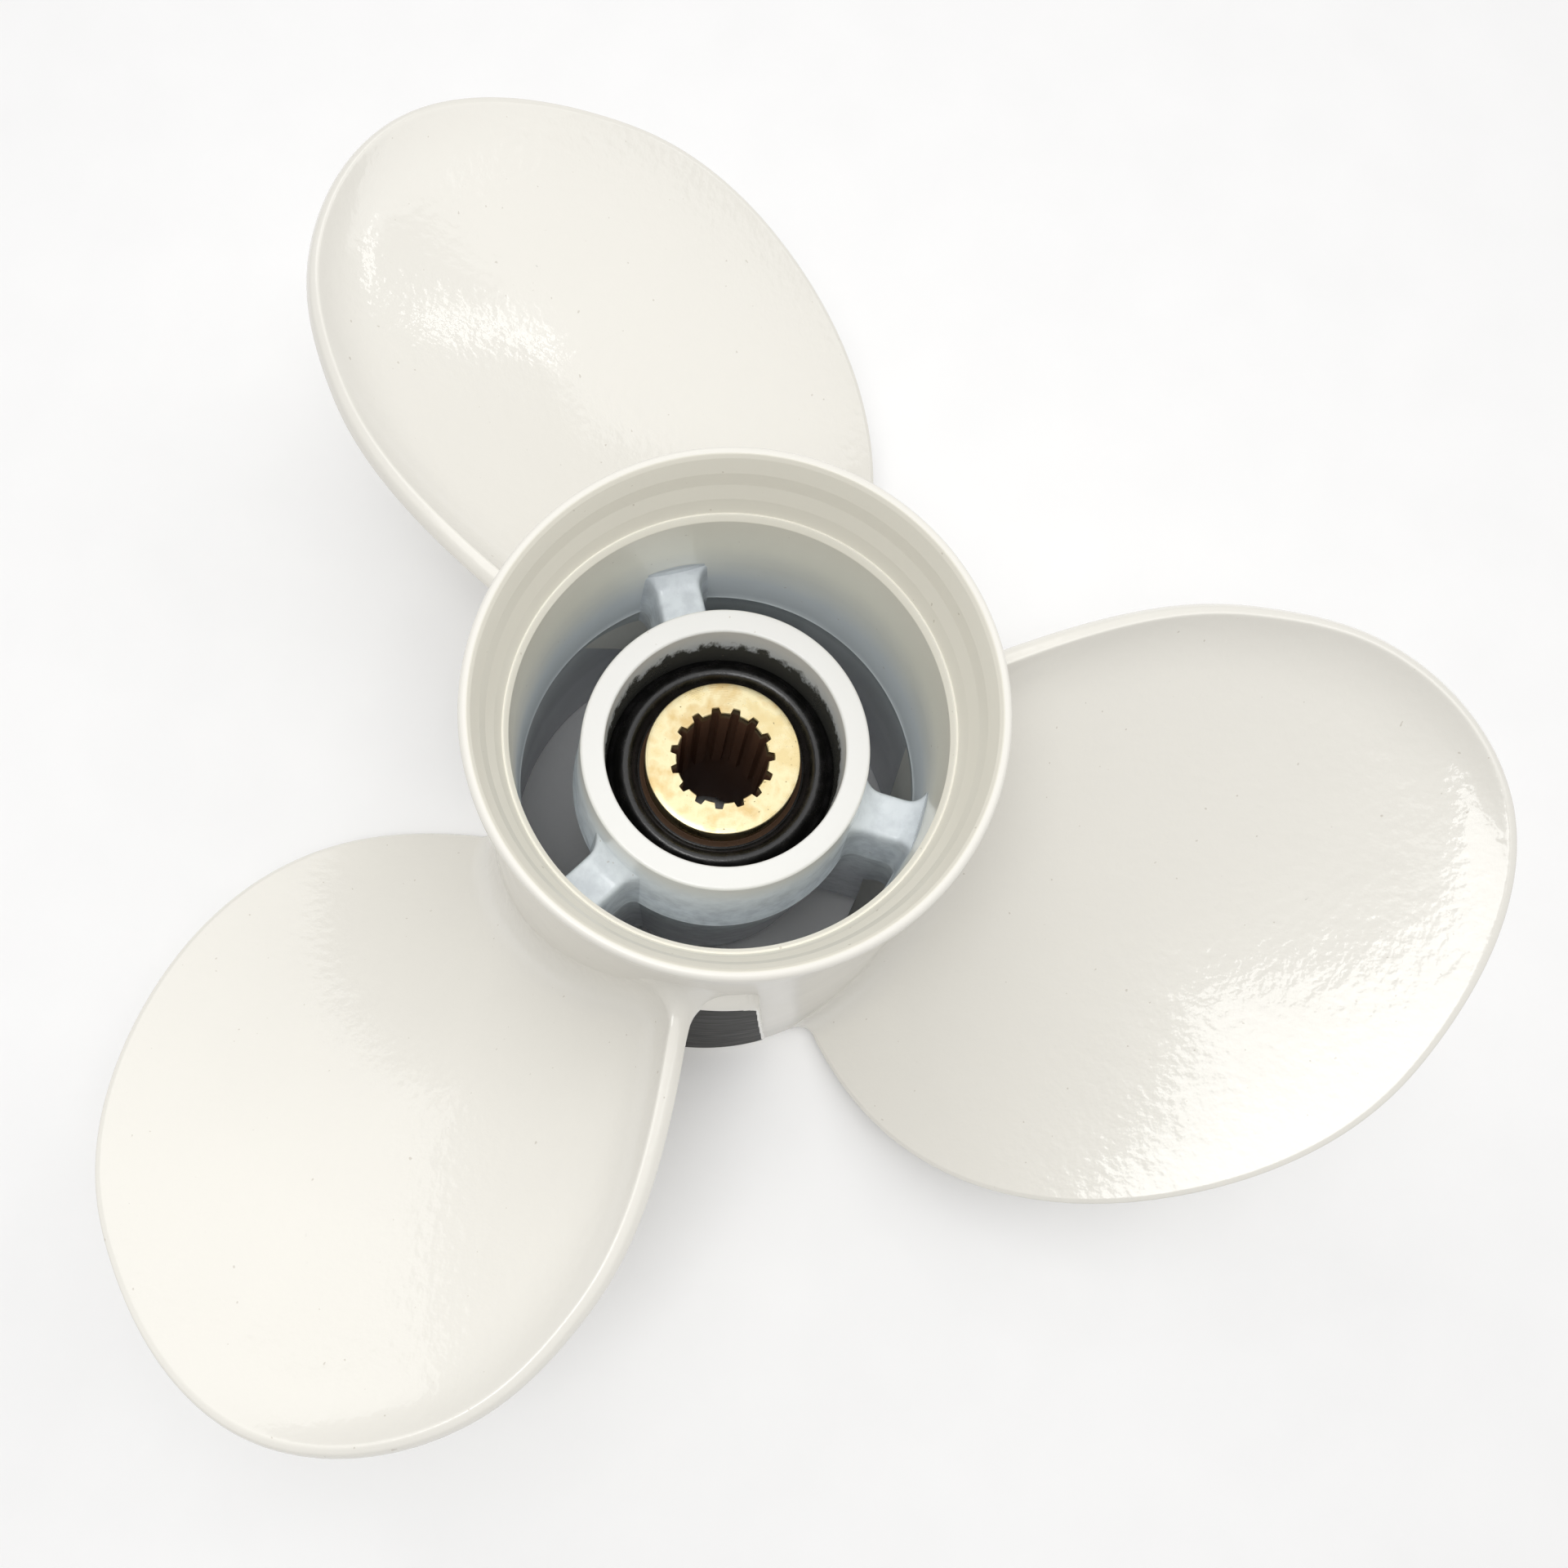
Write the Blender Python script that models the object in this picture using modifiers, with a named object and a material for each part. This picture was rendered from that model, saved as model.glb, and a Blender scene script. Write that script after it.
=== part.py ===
"""Three-blade boat propeller, right-hand, 13 5/8 in diameter by 13 in pitch.

An aluminium casting (barrel, inner hub, three ribs, three blades) carries a pressed-in
rubber bush, and the bush carries a brass sleeve with a 15-tooth internal spline.
The shaft's axis is +Z, which points aft. z = 0 is the plane of the hub's front end, which
the propeller stands on. The casting is modelled in sections, one object each, with a gap
of a few tenths of a millimetre where two sections meet.
"""

from math import atan2, cos, pi, radians, sin, sqrt, tau

import bmesh
import bpy

# Driving dimensions, in metres ------------------------------------------------------------
TIP_RADIUS = 0.173
PITCH = 0.330
BLADE_COUNT = 3
HUB_LENGTH = 0.1143
FRONT_RADIUS = 0.0585
NECK_RADIUS = 0.0497
RIM_RADIUS = 0.0523
FRONT_BORE_RADIUS = 0.0534
WAIST_RADIUS = 0.0460
BORE_RADIUS = 0.0254
SLEEVE_RADIUS = 0.0167
SPLINE_TEETH = 15
SPLINE_MAJOR_RADIUS = 0.0112
SPLINE_MINOR_RADIUS = 0.00995

# Places along the shaft's axis --------------------------------------------------------------
NECK_Z = 0.098
WAIST_Z = 0.061
STEP_Z = 0.1003
INNER_HUB_FRONT_Z = 0.008
INNER_HUB_AFT_Z = 0.0886
BUSH_FRONT_Z = 0.0245
BUSH_AFT_Z = 0.0748
SLEEVE_FRONT_Z = 0.0085
SLEEVE_AFT_Z = 0.0812
SPLINE_FRONT_Z = 0.047
RIB_FRONT_Z = 0.012
RIB_AFT_Z = 0.074
PAD_FRONT_Z = 0.003
PAD_AFT_Z = 0.0795

# Gaps between neighbouring solids -------------------------------------------------------------
GAP = 0.0003
ROOT_GAP = 0.0005

# Blade: the outline is a smooth curve from the leading edge's root round the tip to the
# trailing edge's root, as (share of tip radius, degrees from the blade's own line).
OUTLINE = [(0.31, -50), (0.56, -55), (0.94, -25), (0.99, -11), (1.02, 6),
           (0.86, 20), (0.73, 25.5), (0.55, 32), (0.30, 33)]
FACE_HEIGHT = 0.0477
RAKE_LINEAR = 0.0093
RAKE_CURVED = 0.020
ROOT_REFERENCE = 0.052
ROOT_THICKNESS = 0.0115
TIP_THICKNESS = 0.0042
EDGE_THICKNESS = 0.0026
CUP_HEIGHT = 0.0032
CUP_WIDTH = 0.013
DROOP_WIDTH = 0.060
BLADE_ROWS = 13
CHORD_STEPS = 18

# Ribs and pads, placed by their angle from a blade's own line ----------------------------------
RIB_ANGLE = radians(-6.9)
RIB_WIDTH = 0.0100
PAD_START = radians(35.0)
PAD_END_AFT = radians(48.3)
PAD_END_FRONT = radians(57.0)
PAD_HEIGHT_AFT = 0.0034
PAD_HEIGHT_FRONT = 0.0006

ROUND_STEPS = 72
COLLECTION_NAME = "boat_propeller"


# Scene and materials ------------------------------------------------------------------------

def clear_scene():
    for item in list(bpy.data.objects):
        bpy.data.objects.remove(item, do_unlink=True)


def new_collection(name):
    collection = bpy.data.collections.new(name)
    bpy.context.scene.collection.children.link(collection)
    return collection


def principled(name, colour, roughness, metallic=0.0):
    material = bpy.data.materials.new(name)
    material.use_nodes = True
    shader = material.node_tree.nodes["Principled BSDF"]
    shader.inputs["Base Color"].default_value = (*colour, 1.0)
    shader.inputs["Roughness"].default_value = roughness
    shader.inputs["Metallic"].default_value = metallic
    material.diffuse_color = (*colour, 1.0)
    return material


def add_object(name, mesh, collection, material=None):
    item = bpy.data.objects.new(name, mesh)
    collection.objects.link(item)
    if material:
        mesh.materials.append(material)
    return item


# Mesh helpers ---------------------------------------------------------------------------------

def mesh_from(name, points, faces, smooth_angle=radians(35)):
    """A mesh from points and faces, with its normals pointing out."""
    mesh = bpy.data.meshes.new(name)
    mesh.from_pydata(points, [], faces)
    build = bmesh.new()
    build.from_mesh(mesh)
    bmesh.ops.recalc_face_normals(build, faces=build.faces)
    build.to_mesh(mesh)
    build.free()
    mesh.shade_smooth()
    mesh.set_sharp_from_angle(angle=smooth_angle)
    return mesh


def turned(name, profile, collection, material):
    """A ring-shaped solid: a closed (radius, height) profile turned about the shaft's axis."""
    mesh = bpy.data.meshes.new(name)
    points = [(radius, 0.0, height) for radius, height in profile]
    count = len(points)
    mesh.from_pydata(points, [(i, (i + 1) % count) for i in range(count)], [])
    item = add_object(name, mesh, collection, material)
    screw = item.modifiers.new("Turn", "SCREW")
    screw.axis = "Z"
    screw.steps = ROUND_STEPS
    screw.render_steps = ROUND_STEPS
    screw.use_merge_vertices = True
    screw.merge_threshold = 0.00001
    screw.use_smooth_shade = True
    return item


def blocks(levels):
    """Points and faces of a solid made of stacked closed loops of equal length."""
    points = [point for loop in levels for point in loop]
    size = len(levels[0])
    faces = []
    for level in range(len(levels) - 1):
        base = level * size
        for i in range(size):
            j = (i + 1) % size
            faces.append((base + i, base + j, base + size + j, base + size + i))
    return points, faces


def strip_cap(base, half):
    """Faces that close a loop whose two sides run in opposite directions, point by point."""
    size = 2 * half
    faces = [(base, base + 1, base + size - 1)]
    for i in range(1, half - 1):
        faces.append((base + i, base + i + 1, base + size - i - 1, base + size - i))
    faces.append((base + half - 1, base + half, base + half + 1))
    return faces


# Hub surfaces as functions of height ---------------------------------------------------------

def barrel_outside(z):
    return FRONT_RADIUS + (NECK_RADIUS - FRONT_RADIUS) * z / NECK_Z


def along(wall, z):
    """Radius of a wall, given as (height, radius) points, at a height."""
    for (low, r_low), (high, r_high) in zip(wall, wall[1:]):
        if z <= high:
            return r_low + (r_high - r_low) * (z - low) / (high - low)
    return wall[-1][1]


# Both walls of the exhaust passage are drafted both ways from the waist, where it is
# narrowest.
BARREL_BORE = [(0.0, FRONT_BORE_RADIUS), (WAIST_Z, WAIST_RADIUS), (STEP_Z, 0.0441)]
INNER_HUB_WALL = [(INNER_HUB_FRONT_Z, 0.0308), (WAIST_Z, 0.0333), (INNER_HUB_AFT_Z, 0.0304)]


def barrel_inside(z):
    return along(BARREL_BORE, z)


def inner_hub_outside(z):
    return along(INNER_HUB_WALL, z)


# Casting: barrel and inner hub -----------------------------------------------------------------

def make_outer_hub(collection, material):
    front_edge = 0.0022
    outside = [(RIM_RADIUS - 0.0005, HUB_LENGTH), (RIM_RADIUS, HUB_LENGTH - 0.0007),
               (RIM_RADIUS - 0.0002, HUB_LENGTH - 0.0030), (0.0514, 0.1080),
               (0.0504, 0.1040), (0.0499, 0.1010), (NECK_RADIUS, NECK_Z),
               (barrel_outside(0.05), 0.05), (barrel_outside(front_edge), front_edge),
               (FRONT_RADIUS - 0.0007, 0.0007), (FRONT_RADIUS - 0.0022, 0.0)]
    inside = [(radius, z) for z, radius in BARREL_BORE]
    inside += [(0.0444, 0.1020), (0.0459, 0.1032), (0.0473, 0.1065), (0.0492, 0.1110),
               (0.0502, 0.1138), (0.0507, HUB_LENGTH)]
    return turned("outer_hub", outside + inside, collection, material)


def make_inner_hub(collection, material):
    edge = 0.0006
    aft_r = INNER_HUB_WALL[-1][1]
    front_r = INNER_HUB_WALL[0][1]
    front_bore = 0.0225
    shoulder_z = BUSH_FRONT_Z - GAP
    outside = [(aft_r - edge, INNER_HUB_AFT_Z), (aft_r, INNER_HUB_AFT_Z - edge)]
    outside += [(radius, z) for z, radius in reversed(INNER_HUB_WALL[1:-1])]
    outside += [(front_r, INNER_HUB_FRONT_Z + 2 * edge), (front_r - edge, INNER_HUB_FRONT_Z)]
    inside = [(front_bore + edge, INNER_HUB_FRONT_Z), (front_bore, INNER_HUB_FRONT_Z + edge),
              (front_bore, shoulder_z), (BORE_RADIUS, shoulder_z),
              (BORE_RADIUS, INNER_HUB_AFT_Z - edge), (BORE_RADIUS + edge, INNER_HUB_AFT_Z)]
    return turned("inner_hub", outside + inside, collection, material)


def make_rib(number, collection, material):
    """A web between inner hub and barrel, with a rounded aft edge."""
    across = 5
    crown = 0.005
    heights = [RIB_FRONT_Z, WAIST_Z, RIB_AFT_Z - crown,
               RIB_AFT_Z - 0.45 * crown, RIB_AFT_Z]
    levels = []
    for z in heights:
        drop = max(0.0, z - (RIB_AFT_Z - crown)) / crown
        width = RIB_WIDTH * (0.35 + 0.65 * sqrt(max(0.0, 1.0 - drop * drop)))
        offsets = [width * (i / (across - 1) - 0.5) for i in range(across)]
        inner = [(sqrt(inner_hub_outside(z) ** 2 - y * y) + ROOT_GAP, y, z) for y in offsets]
        outer = [(sqrt(barrel_inside(z) ** 2 - y * y) - ROOT_GAP, y, z) for y in offsets]
        levels.append(inner + outer[::-1])
    points, faces = blocks(levels)
    size = 2 * across
    for base in (0, size * (len(levels) - 1)):
        for i in range(across - 1):
            faces.append((base + i, base + i + 1, base + size - 2 - i, base + size - 1 - i))
    name = f"rib_{number}"
    item = add_object(name, mesh_from(name, points, faces), collection, material)
    item.rotation_euler[2] = RIB_ANGLE + number * tau / BLADE_COUNT
    return item


def make_stamping_pad(number, collection, material):
    """A low raised pad on the barrel, beside a blade's trailing edge."""
    across = 7
    levels = []
    for share in (0.0, 0.5, 1.0):
        z = PAD_FRONT_Z + (PAD_AFT_Z - PAD_FRONT_Z) * share
        inner_r = barrel_outside(z) + ROOT_GAP
        rise = PAD_HEIGHT_FRONT + (PAD_HEIGHT_AFT - PAD_HEIGHT_FRONT) * share
        end = PAD_END_FRONT + (PAD_END_AFT - PAD_END_FRONT) * share
        angles = [PAD_START + (end - PAD_START) * i / (across - 1) for i in range(across)]
        inner = [(inner_r * cos(a), inner_r * sin(a), z) for a in angles]
        outer_r = inner_r + rise
        outer = [(outer_r * cos(a), outer_r * sin(a), z) for a in angles]
        levels.append(inner + outer[::-1])
    points, faces = blocks(levels)
    size = 2 * across
    for base in (0, size * (len(levels) - 1)):
        for i in range(across - 1):
            faces.append((base + i, base + i + 1, base + size - 2 - i, base + size - 1 - i))
    name = f"stamping_pad_{number}"
    item = add_object(name, mesh_from(name, points, faces), collection, material)
    item.rotation_euler[2] = number * tau / BLADE_COUNT
    return item


# Casting: blades -------------------------------------------------------------------------------

def outline_point(t):
    """Clamped cubic B-spline through the outline's control points, for t from 0 to 1."""
    degree = 3
    count = len(OUTLINE)
    spans = count - degree
    knots = [0.0] * degree + [i / spans for i in range(spans + 1)] + [1.0] * degree
    span = min(int(t * spans), spans - 1) + degree
    local = [OUTLINE[span - degree + i] for i in range(degree + 1)]
    for level in range(1, degree + 1):
        for i in range(degree, level - 1, -1):
            start = knots[span - degree + i]
            share = (t - start) / (knots[span + 1 + i - level] - start)
            local[i] = tuple(a + share * (b - a) for a, b in zip(local[i - 1], local[i]))
    fraction, degrees = local[degree]
    return fraction * OUTLINE_SCALE * TIP_RADIUS, radians(degrees)


def find_tip():
    samples = [i / 2000 for i in range(2001)]
    return max(samples, key=lambda t: outline_point(t)[0])


OUTLINE_SCALE = 1.0
TIP_T = find_tip()
OUTLINE_SCALE = TIP_RADIUS / outline_point(TIP_T)[0]


def edge_angle(radius, trailing):
    """The blade's edge at a radius, as an angle from the blade's own line."""
    root, tip = (1.0, TIP_T) if trailing else (0.0, TIP_T)
    for _ in range(40):
        middle = (root + tip) / 2
        if outline_point(middle)[0] < radius:
            root = middle
        else:
            tip = middle
    return outline_point((root + tip) / 2)[1]


def face_height(radius, angle):
    """Height of the blade's aft face, a raked screw surface."""
    share = (radius - ROOT_REFERENCE) / (TIP_RADIUS - ROOT_REFERENCE)
    rake = RAKE_LINEAR * share + RAKE_CURVED * share * share
    return FACE_HEIGHT + PITCH * angle / tau + rake


def settle_radius(level, angle_of):
    """Radius at a level between hub (0) and tip (1), where the hub's radius varies with z."""
    radius = ROOT_REFERENCE
    for _ in range(12):
        z = face_height(radius, angle_of(radius))
        root = barrel_outside(z) + ROOT_GAP
        radius = root + level * (TIP_RADIUS - root)
    return radius


def section_point(level, chord_share, lead, trail, suction):
    """A point of the blade's section at a level, on its aft face or its suction face."""
    angle = lead + chord_share * (trail - lead)
    radius = settle_radius(level, lambda _: angle)
    slope = atan2(PITCH, tau * radius)
    chord = radius * (trail - lead) / cos(slope)
    from_lead = chord_share * chord
    from_trail = chord - from_lead
    fullest = ROOT_THICKNESS + (TIP_THICKNESS - ROOT_THICKNESS) * level ** 0.8
    thickness = EDGE_THICKNESS + (fullest - EDGE_THICKNESS) * 4 * chord_share * (1 - chord_share)
    edge = min(from_lead, from_trail) / (EDGE_THICKNESS / 2)
    roundness = sqrt(1 - (1 - min(edge, 1.0)) ** 2)
    edge_inset = EDGE_THICKNESS / 2 * (1 - roundness)
    offset = thickness - edge_inset if suction else edge_inset
    fade = min(1.0, level / 0.08) * min(1.0, (1 - level) / 0.12)
    droop = max(0.0, 1 - from_trail / DROOP_WIDTH) ** 2
    cup = max(0.0, 1 - from_trail / CUP_WIDTH) ** 2
    offset += CUP_HEIGHT * fade * (droop - cup)
    z = face_height(radius, angle) - offset * cos(slope)
    turn = angle + offset * sin(slope) / radius
    radius = barrel_outside(z) + ROOT_GAP if level == 0 else radius
    return radius * cos(turn), radius * sin(turn), z


def blade_loop(level):
    lead = edge_angle(settle_radius(level, lambda r: edge_angle(r, False)), False)
    trail = edge_angle(settle_radius(level, lambda r: edge_angle(r, True)), True)
    shares = [(1 - cos(pi * i / CHORD_STEPS)) / 2 for i in range(CHORD_STEPS + 1)]
    aft = [section_point(level, s, lead, trail, False) for s in shares]
    fore = [section_point(level, s, lead, trail, True) for s in shares[-2:0:-1]]
    return aft + fore


def on_barrel(point):
    """A point moved along its radius to the root's distance from the barrel."""
    x, y, z = point
    scale = (barrel_outside(z) + ROOT_GAP) / sqrt(x * x + y * y)
    return x * scale, y * scale, z


def root_cap(points, half):
    """Closes the root with a mid line that follows the barrel's round surface."""
    size = 2 * half
    first = len(points)
    for i in range(1, half):
        middle = [(a + b) / 2 for a, b in zip(points[i], points[size - i])]
        points.append(on_barrel(middle))
    faces = [(0, 1, first), (0, first, size - 1)]
    for i in range(1, half - 1):
        near, far = first + i - 1, first + i
        faces.append((i, i + 1, far, near))
        faces.append((near, far, size - i - 1, size - i))
    last = first + half - 2
    faces += [(half - 1, half, last), (last, half, half + 1)]
    return faces


def make_blade(number, collection, material):
    levels = [sin(pi / 2 * i / BLADE_ROWS) for i in range(BLADE_ROWS)] + [0.9985]
    points, faces = blocks([blade_loop(level) for level in levels])
    faces += strip_cap(2 * CHORD_STEPS * (len(levels) - 1), CHORD_STEPS)
    faces += root_cap(points, CHORD_STEPS)
    name = f"blade_{number}"
    item = add_object(name, mesh_from(name, points, faces), collection, material)
    item.rotation_euler[2] = number * tau / BLADE_COUNT
    return item


# Bush and sleeve ---------------------------------------------------------------------------------

def make_rubber_bush(collection, material):
    """Rubber ring between sleeve and inner hub; its aft end has a rounded ridge."""
    outer_r = BORE_RADIUS - GAP
    inner_r = SLEEVE_RADIUS + GAP
    ridge_r = 0.0213
    ridge_half = 0.0024
    steps = 6
    ridge = []
    for i in range(steps + 1):
        angle = pi * i / steps
        ridge.append((ridge_r - ridge_half * cos(angle), BUSH_AFT_Z + ridge_half * sin(angle)))
    outside = [(outer_r - 0.0008, BUSH_AFT_Z), (outer_r, BUSH_AFT_Z - 0.0010),
               (outer_r, BUSH_FRONT_Z + 0.0010), (outer_r - 0.0010, BUSH_FRONT_Z)]
    inside = [(inner_r, BUSH_FRONT_Z), (inner_r, BUSH_AFT_Z - 0.0020)]
    return turned("rubber_bush", outside + inside + ridge, collection, material)


def make_spline_cutter(collection):
    """A star-shaped prism that cuts the grooves between the sleeve's teeth."""
    corners = []
    for tooth in range(SPLINE_TEETH):
        middle = tau * tooth / SPLINE_TEETH
        for radius, half_angle in ((SPLINE_MINOR_RADIUS - 0.0005, radians(7.0)),
                                   (SPLINE_MAJOR_RADIUS - 0.0003, radians(5.2)),
                                   (SPLINE_MAJOR_RADIUS, radians(3.6))):
            corners.append((radius, middle - half_angle))
        for radius, half_angle in ((SPLINE_MAJOR_RADIUS, radians(3.6)),
                                   (SPLINE_MAJOR_RADIUS - 0.0003, radians(5.2)),
                                   (SPLINE_MINOR_RADIUS - 0.0005, radians(7.0))):
            corners.append((radius, middle + half_angle))
    size = len(corners)
    bottom, top = SPLINE_FRONT_Z - 0.001, SLEEVE_AFT_Z + 0.002
    points = [(r * cos(a), r * sin(a), z) for z in (bottom, top) for r, a in corners]
    faces = [tuple(range(size)), tuple(range(size, 2 * size))]
    for i in range(size):
        j = (i + 1) % size
        faces.append((i, j, size + j, size + i))
    cutter = add_object("spline_cutter", mesh_from("spline_cutter", points, faces), collection)
    cutter.hide_render = True
    cutter.display_type = "WIRE"
    return cutter


def make_splined_sleeve(collection, cutters, material):
    edge = 0.0007
    plain_bore = SPLINE_MAJOR_RADIUS + 0.0002
    outside = [(SLEEVE_RADIUS - edge, SLEEVE_AFT_Z), (SLEEVE_RADIUS, SLEEVE_AFT_Z - edge),
               (SLEEVE_RADIUS, SLEEVE_FRONT_Z + edge), (SLEEVE_RADIUS - edge, SLEEVE_FRONT_Z)]
    inside = [(plain_bore + edge, SLEEVE_FRONT_Z), (plain_bore, SLEEVE_FRONT_Z + edge),
              (plain_bore, SPLINE_FRONT_Z), (SPLINE_MINOR_RADIUS, SPLINE_FRONT_Z + 0.0004),
              (SPLINE_MINOR_RADIUS, SLEEVE_AFT_Z)]
    sleeve = turned("splined_sleeve", outside + inside, collection, material)
    cut = sleeve.modifiers.new("Spline", "BOOLEAN")
    cut.operation = "DIFFERENCE"
    cut.solver = "EXACT"
    cut.object = make_spline_cutter(cutters)
    return sleeve


# Whole propeller -----------------------------------------------------------------------------------

def main():
    clear_scene()
    parts = new_collection(COLLECTION_NAME)
    cutters = new_collection("cutters")
    paint = principled("white_paint", (0.83, 0.82, 0.77), 0.22)
    blade_paint = principled("blade_paint", (0.85, 0.84, 0.79), 0.20)
    inner_paint = principled("inner_paint", (0.62, 0.65, 0.68), 0.35)
    pad_paint = principled("pad_paint", (0.20, 0.20, 0.19), 0.45)
    rubber = principled("black_rubber", (0.018, 0.018, 0.020), 0.38)
    brass = principled("brass", (0.86, 0.63, 0.30), 0.28, metallic=1.0)

    make_outer_hub(parts, paint)
    make_inner_hub(parts, inner_paint)
    for number in range(1, BLADE_COUNT + 1):
        make_rib(number, parts, inner_paint)
        make_stamping_pad(number, parts, pad_paint)
        make_blade(number, parts, blade_paint)
    make_rubber_bush(parts, rubber)
    make_splined_sleeve(parts, cutters, brass)


main()
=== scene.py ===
"""Looks of the three-blade boat propeller: fine meshes, paint, rubber, brass, light and camera.

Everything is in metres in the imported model's frame: the shaft's axis is +Z and points aft,
and z = 0 is the plane of the hub's front end. The casting is drawn in the same regions as the
CAD model, with the fillets, rounded edges and draft that a die casting has.
"""

from math import cos, pi, radians, sin, sqrt, tau

import bmesh
import bpy
import numpy as np
from mathutils import Matrix, Vector


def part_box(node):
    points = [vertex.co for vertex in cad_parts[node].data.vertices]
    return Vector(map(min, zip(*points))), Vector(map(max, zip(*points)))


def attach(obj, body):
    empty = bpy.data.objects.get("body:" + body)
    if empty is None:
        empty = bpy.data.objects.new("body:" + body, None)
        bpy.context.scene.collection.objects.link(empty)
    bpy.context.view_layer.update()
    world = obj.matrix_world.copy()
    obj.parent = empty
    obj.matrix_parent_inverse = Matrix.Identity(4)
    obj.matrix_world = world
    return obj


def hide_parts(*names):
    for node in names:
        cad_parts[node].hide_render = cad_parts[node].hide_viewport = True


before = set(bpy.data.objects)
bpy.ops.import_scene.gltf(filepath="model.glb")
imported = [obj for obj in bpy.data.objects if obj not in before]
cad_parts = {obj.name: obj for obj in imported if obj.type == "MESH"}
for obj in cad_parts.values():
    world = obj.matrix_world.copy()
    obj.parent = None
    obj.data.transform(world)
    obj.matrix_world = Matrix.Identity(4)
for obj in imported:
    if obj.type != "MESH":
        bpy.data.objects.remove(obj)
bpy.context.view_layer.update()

# Sizes read from the frame --------------------------------------------------------------------
HUB_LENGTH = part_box("outer_hub")[1].z
CORE_FRONT_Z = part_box("inner_hub")[0].z
CORE_AFT_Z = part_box("inner_hub")[1].z
RIB_FRONT_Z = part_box("rib_1")[0].z
RIB_AFT_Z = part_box("rib_1")[1].z
PAD_FRONT_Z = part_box("stamping_pad_1")[0].z
PAD_AFT_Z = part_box("stamping_pad_1")[1].z
BUSH_FRONT_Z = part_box("rubber_bush")[0].z
SLEEVE_FRONT_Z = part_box("splined_sleeve")[0].z
SLEEVE_AFT_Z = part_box("splined_sleeve")[1].z
BLADE_COUNT = sum(name.startswith("blade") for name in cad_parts)

# Hub ------------------------------------------------------------------------------------------
FRONT_RADIUS = 0.0585
NECK_RADIUS = 0.0497
NECK_Z = 0.098
RIM_RADIUS = 0.0523
FRONT_BORE_RADIUS = 0.0534
WAIST_RADIUS = 0.0460
WAIST_Z = 0.061
STEP_RADIUS = 0.0441
STEP_Z = 0.1003
CORE_WAIST_RADIUS = 0.0333
CORE_AFT_RADIUS = 0.0304
CORE_FRONT_RADIUS = 0.0308
CORE_BORE_RADIUS = 0.0254
ROUND_STEPS = 288
SHARP_ANGLE = radians(38)

# Blade ----------------------------------------------------------------------------------------
TIP_RADIUS = 0.173
PITCH = 0.330
OUTLINE = [(0.31, -50), (0.56, -55), (0.94, -25), (0.99, -11), (1.02, 6),
           (0.86, 20), (0.73, 25.5), (0.55, 32), (0.30, 33)]
FACE_HEIGHT = 0.0477
RAKE_LINEAR = 0.0093
RAKE_CURVED = 0.020
ROOT_REFERENCE = 0.052
ROOT_BULGE = 0.0085
TIP_BULGE = 0.0018
FAN_LEVEL = 0.70
BLADE_ROWS = 110
FILLET_ROWS = 9

# Ribs and pads, by their angle from a blade's own line ----------------------------------------
RIB_ANGLE = radians(-6.9)
PAD_START = radians(33.0)
PAD_END_AFT = radians(48.3)
PAD_END_FRONT = radians(57.0)

# Bush and sleeve ------------------------------------------------------------------------------
BUSH_FACE_Z = 0.0748
SLEEVE_RADIUS = 0.0169
SPLINE_TEETH = 15
SPLINE_MAJOR_RADIUS = 0.0112
SPLINE_MINOR_RADIUS = 0.00995
SPLINE_FRONT_Z = 0.047


# Mesh helpers ---------------------------------------------------------------------------------

def add_piece(name, points, faces, materials, body, nodes, sharp=SHARP_ANGLE):
    """A finished piece: mesh, materials, its body, and the CAD nodes it stands for."""
    mesh = bpy.data.meshes.new(name)
    mesh.from_pydata([tuple(p) for p in points], [], faces)
    mesh.validate()
    mesh.shade_smooth()
    mesh.set_sharp_from_angle(angle=sharp)
    for material in materials:
        mesh.materials.append(material)
    piece = bpy.data.objects.new(name, mesh)
    bpy.context.scene.collection.objects.link(piece)
    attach(piece, body)
    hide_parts(*nodes)
    return piece


def grid_faces(rows, columns, wrap_rows=False, wrap_columns=False, base=0):
    """Quads of a grid of points stored row by row."""
    faces = []
    for i in range(rows if wrap_rows else rows - 1):
        for j in range(columns if wrap_columns else columns - 1):
            a, b = i * columns, (i + 1) % rows * columns
            k = (j + 1) % columns
            faces.append((base + a + j, base + b + j, base + b + k, base + a + k))
    return faces


def rounded(corners, steps=5):
    """A profile whose corners, given as (radius, height, fillet), are rounded with arcs."""
    points = []
    count = len(corners)
    for i, (r, z, fillet) in enumerate(corners):
        here = Vector((r, z))
        before = Vector(corners[i - 1][:2]) - here
        after = Vector(corners[(i + 1) % count][:2]) - here
        if fillet == 0:
            points.append(here)
            continue
        before.normalize()
        after.normalize()
        half = before.angle(after) / 2
        centre = here + (before + after).normalized() * fillet / sin(half)
        start = here + before * fillet / np.tan(half) - centre
        end = here + after * fillet / np.tan(half) - centre
        for k in range(steps + 1):
            share = k / steps
            arc = (start * (1 - share) + end * share).normalized() * fillet
            points.append(centre + arc)
    return [(p.x, p.y) for p in points]


def turned(name, profile, materials, body, nodes, sharp=SHARP_ANGLE):
    """A closed profile turned about the shaft's axis."""
    angles = np.linspace(0, tau, ROUND_STEPS, endpoint=False)[:, None]
    radius = np.array([p[0] for p in profile])[None, :] + 0 * angles
    height = np.array([p[1] for p in profile])[None, :] + 0 * angles
    points = np.stack([radius * np.cos(angles), radius * np.sin(angles), height], axis=-1)
    faces = grid_faces(ROUND_STEPS, len(profile), wrap_rows=True, wrap_columns=True)
    return add_piece(name, points.reshape(-1, 3), faces, materials, body, nodes, sharp)


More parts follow.
